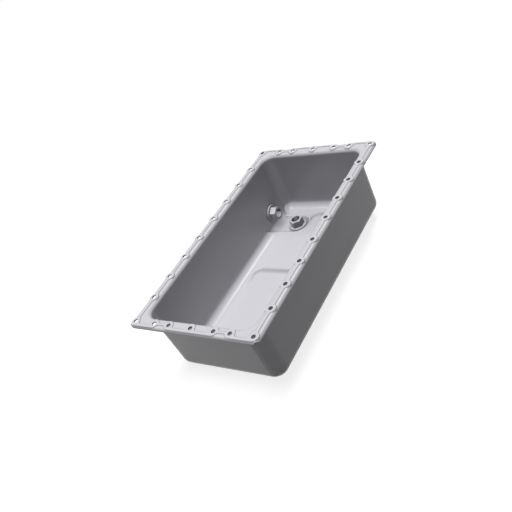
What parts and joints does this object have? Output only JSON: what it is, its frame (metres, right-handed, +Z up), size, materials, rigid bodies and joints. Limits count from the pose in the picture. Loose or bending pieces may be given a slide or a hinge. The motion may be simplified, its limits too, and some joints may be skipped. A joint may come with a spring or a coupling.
{
  "type": "engine oil pan",
  "caption": "Deep rectangular engine oil pan pressed from sheet steel, with a bolted rim, ribbed sealing land, sloping floor pads and two plugged drain bosses.",
  "frame": {"origin": "middle of the flange's bolt pattern, in the plane of the gasket face", "axes": "+Z up towards the engine block, +Y along the pan towards its drain end, +X across the pan"},
  "size_m": [0.308, 0.56, 0.1645],
  "materials": {
    "pan_steel": "satin light grey paint over pressed steel",
    "boss_steel": "satin light grey paint over turned steel, bare in the thread",
    "plug_steel": "zinc plated",
    "ring_copper": "soft annealed copper"
  },
  "bodies": {
    "root": {"pan_shell": "pan_steel", "floor_drain_boss": "boss_steel", "side_drain_boss": "boss_steel", "floor_drain_plug": "plug_steel", "side_drain_plug": "plug_steel", "floor_sealing_ring": "ring_copper", "side_sealing_ring": "ring_copper"}
  },
  "joints": []
}
